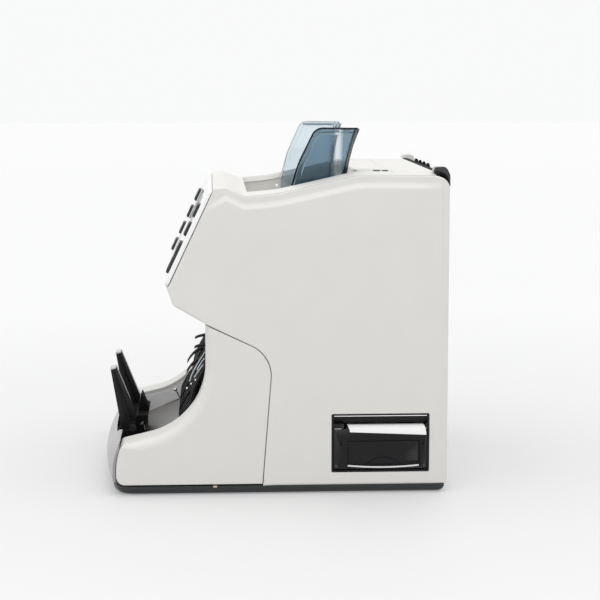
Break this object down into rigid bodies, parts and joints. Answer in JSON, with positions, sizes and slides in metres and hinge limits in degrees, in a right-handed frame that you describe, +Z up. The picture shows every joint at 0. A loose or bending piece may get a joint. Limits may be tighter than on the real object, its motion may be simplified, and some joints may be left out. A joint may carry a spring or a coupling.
{
  "type": "banknote counting machine",
  "caption": "Desktop note counter: top hopper with tinted sliding guides, sloping keypad, front stacker pocket, side slip printer and rear access door.",
  "frame": {"origin": "centre of the footprint on the surface the feet stand on", "axes": "+Z up, -Y towards the user's side with the keypad and stacker, +X to the side with the slip printer"},
  "size_m": [0.2747, 0.2892, 0.3024],
  "materials": {
    "cover_plastic": "fine satin texture, warm light grey",
    "panel_plastic": "near-white, smooth",
    "nose_plastic": "silver-grey gloss",
    "black_plastic": "black satin moulding",
    "key_rubber": "charcoal, satin",
    "set_key_plastic": "light grey",
    "display_glass": "dark glossy window",
    "tinted_plastic": "clear slate-blue tint",
    "base_paint": "dark grey powder coat",
    "floor_plastic": "dark warm grey",
    "steel": "brushed",
    "rubber": "matt",
    "roller_rubber": "ground rubber tyres on steel shafts",
    "paper": "thermal paper",
    "circuit_board": "green solder mask"
  },
  "bodies": {
    "chassis": {"base_pan": "base_paint", "chin_cover": "cover_plastic", "control_panel": "panel_plastic", "display_window": "display_glass", "drive_belt": "rubber", "front_left_foot": "rubber", "front_right_foot": "rubber", "guide_rod": "steel", "hopper_tray": "cover_plastic", "left_frame_plate": "steel", "left_front_cheek": "cover_plastic", "left_side_cover": "cover_plastic", "main_board": "circuit_board", "main_motor": "steel", "mains_inlet": "black_plastic", "nose_cover": "nose_plastic", "power_supply": "steel", "printer_body": "black_plastic", "rear_left_foot": "rubber", "rear_panel": "cover_plastic", "rear_right_foot": "rubber", "right_frame_plate": "steel", "right_front_cheek": "cover_plastic", "right_side_cover": "cover_plastic", "stacker_back_guide": "black_plastic", "stacker_floor": "floor_plastic", "stopper_base": "black_plastic", "top_cover": "cover_plastic"},
    "right_key_1_body": {"right_key_1": "key_rubber"},
    "right_key_2_body": {"right_key_2": "key_rubber"},
    "start_key_body": {"start_key": "key_rubber"},
    "left_key_1_body": {"left_key_1": "key_rubber"},
    "left_key_2_body": {"left_key_2": "key_rubber"},
    "left_key_3_body": {"left_key_3": "key_rubber"},
    "left_key_4_body": {"left_key_4": "key_rubber"},
    "left_set_key_body": {"left_set_key": "set_key_plastic"},
    "right_set_key_body": {"right_set_key": "set_key_plastic"},
    "right_guide": {"right_note_guide": "tinted_plastic", "right_guide_rack": "black_plastic"},
    "left_guide": {"left_note_guide": "tinted_plastic", "left_guide_rack": "black_plastic"},
    "guide_gear": {"guide_pinion": "panel_plastic"},
    "feed_rotor": {"feed_roller": "roller_rubber", "feed_pulley": "steel"},
    "kicker_rotor": {"kicker_roller": "roller_rubber"},
    "retard_rotor": {"retard_roller": "roller_rubber"},
    "transport_rotor": {"transport_roller": "roller_rubber"},
    "stacker_rotor": {"stacker_shaft": "steel", "right_stacker_wheel": "black_plastic", "left_stacker_wheel": "black_plastic", "stacker_pulley": "steel"},
    "motor_rotor": {"motor_pulley": "steel"},
    "right_stopper": {"right_stopper_arm": "black_plastic"},
    "left_stopper": {"left_stopper_arm": "black_plastic"},
    "rear_hatch": {"rear_door": "black_plastic"},
    "rocker": {"power_switch": "black_plastic"},
    "slip_lid": {"printer_lid": "black_plastic", "paper_strip": "paper"},
    "slip_lever": {"printer_lever": "black_plastic"},
    "slip_roll": {"paper_roll": "paper"}
  },
  "joints": [
    {"name": "right_key_1_press", "type": "slide", "parent": "chassis", "child": "right_key_1_body", "axis": [0, 0.9032, -0.4293], "range_m": [0, 0.0012], "stiffness_N_per_m": 400, "springref_m": -0.0012},
    {"name": "right_key_2_press", "type": "slide", "parent": "chassis", "child": "right_key_2_body", "axis": [0, 0.9032, -0.4293], "range_m": [0, 0.0012], "stiffness_N_per_m": 400, "springref_m": -0.0012},
    {"name": "start_key_press", "type": "slide", "parent": "chassis", "child": "start_key_body", "axis": [0, 0.9032, -0.4293], "range_m": [0, 0.0012], "stiffness_N_per_m": 400, "springref_m": -0.0012},
    {"name": "left_key_1_press", "type": "slide", "parent": "chassis", "child": "left_key_1_body", "axis": [0, 0.9032, -0.4293], "range_m": [0, 0.0012], "stiffness_N_per_m": 400, "springref_m": -0.0012},
    {"name": "left_key_2_press", "type": "slide", "parent": "chassis", "child": "left_key_2_body", "axis": [0, 0.9032, -0.4293], "range_m": [0, 0.0012], "stiffness_N_per_m": 400, "springref_m": -0.0012},
    {"name": "left_key_3_press", "type": "slide", "parent": "chassis", "child": "left_key_3_body", "axis": [0, 0.9032, -0.4293], "range_m": [0, 0.0012], "stiffness_N_per_m": 400, "springref_m": -0.0012},
    {"name": "left_key_4_press", "type": "slide", "parent": "chassis", "child": "left_key_4_body", "axis": [0, 0.9032, -0.4293], "range_m": [0, 0.0012], "stiffness_N_per_m": 400, "springref_m": -0.0012},
    {"name": "left_set_key_press", "type": "slide", "parent": "chassis", "child": "left_set_key_body", "axis": [0, 0.9032, -0.4293], "range_m": [0, 0.0012], "stiffness_N_per_m": 400, "springref_m": -0.0012},
    {"name": "right_set_key_press", "type": "slide", "parent": "chassis", "child": "right_set_key_body", "axis": [0, 0.9032, -0.4293], "range_m": [0, 0.0012], "stiffness_N_per_m": 400, "springref_m": -0.0012},
    {"name": "right_guide_slide", "type": "slide", "parent": "chassis", "child": "right_guide", "axis": [-1, 0, 0], "range_m": [0, 0.04]},
    {"name": "left_guide_slide", "type": "slide", "parent": "chassis", "child": "left_guide", "axis": [1, 0, 0], "range_m": [0, 0.04]},
    {"name": "guide_pinion_spin", "type": "hinge", "parent": "chassis", "child": "guide_gear", "pos_m": [0, 0.048, 0.2055], "axis": [0, 0, 1], "range_deg": [0, 219]},
    {"name": "feed_spin", "type": "hinge", "parent": "chassis", "child": "feed_rotor", "pos_m": [0, -0.001, 0.1885], "axis": [1, 0, 0], "continuous": true},
    {"name": "kicker_spin", "type": "hinge", "parent": "chassis", "child": "kicker_rotor", "pos_m": [0, 0.016, 0.2015], "axis": [1, 0, 0], "continuous": true},
    {"name": "retard_spin", "type": "hinge", "parent": "chassis", "child": "retard_rotor", "pos_m": [0, -0.027, 0.1925], "axis": [1, 0, 0], "continuous": true},
    {"name": "transport_spin", "type": "hinge", "parent": "chassis", "child": "transport_rotor", "pos_m": [0, -0.003, 0.1425], "axis": [1, 0, 0], "continuous": true},
    {"name": "stacker_spin", "type": "hinge", "parent": "chassis", "child": "stacker_rotor", "pos_m": [0, -0.04, 0.0865], "axis": [1, 0, 0], "continuous": true},
    {"name": "motor_spin", "type": "hinge", "parent": "chassis", "child": "motor_rotor", "pos_m": [0, 0.062, 0.1145], "axis": [1, 0, 0], "continuous": true},
    {"name": "right_stopper_tilt", "type": "hinge", "parent": "chassis", "child": "right_stopper", "pos_m": [0.043, -0.1215, 0.0405], "axis": [1, 0, 0], "range_deg": [0, 16], "stiffness_Nm_per_rad": 0.1, "springref_deg": -5.73},
    {"name": "left_stopper_tilt", "type": "hinge", "parent": "chassis", "child": "left_stopper", "pos_m": [-0.043, -0.1215, 0.0405], "axis": [1, 0, 0], "range_deg": [0, 16], "stiffness_Nm_per_rad": 0.1, "springref_deg": -5.73},
    {"name": "rear_door_swing", "type": "hinge", "parent": "chassis", "child": "rear_hatch", "pos_m": [0, 0.1416, 0.1555], "axis": [-1, 0, 0], "range_deg": [0, 70]},
    {"name": "power_rocker", "type": "hinge", "parent": "chassis", "child": "rocker", "pos_m": [-0.055, 0.141, 0.0445], "axis": [1, 0, 0], "range_deg": [0, 12]},
    {"name": "printer_lid_swing", "type": "hinge", "parent": "chassis", "child": "slip_lid", "pos_m": [0.1326, 0.0875, 0.0218], "axis": [0, 1, 0], "range_deg": [0, 55]},
    {"name": "printer_lever_pull", "type": "hinge", "parent": "slip_lid", "child": "slip_lever", "pos_m": [0.1322, 0.09, 0.0435], "axis": [0, -1, 0], "range_deg": [0, 18], "stiffness_Nm_per_rad": 0.02, "springref_deg": -5.73},
    {"name": "paper_roll_spin", "type": "hinge", "parent": "chassis", "child": "slip_roll", "pos_m": [0.1115, 0.0905, 0.0385], "axis": [0, 1, 0], "continuous": true}
  ],
  "couplings": [
    {"joint": "left_guide_slide", "follows": "right_guide_slide", "ratio": 1},
    {"joint": "guide_pinion_spin", "follows": "right_guide_slide", "rad_per_m": 95.238},
    {"joint": "kicker_spin", "follows": "feed_spin", "ratio": 1.25},
    {"joint": "transport_spin", "follows": "feed_spin", "ratio": 1.25},
    {"joint": "stacker_spin", "follows": "feed_spin", "ratio": 1.3333},
    {"joint": "motor_spin", "follows": "feed_spin", "ratio": 1.7778}
  ]
}
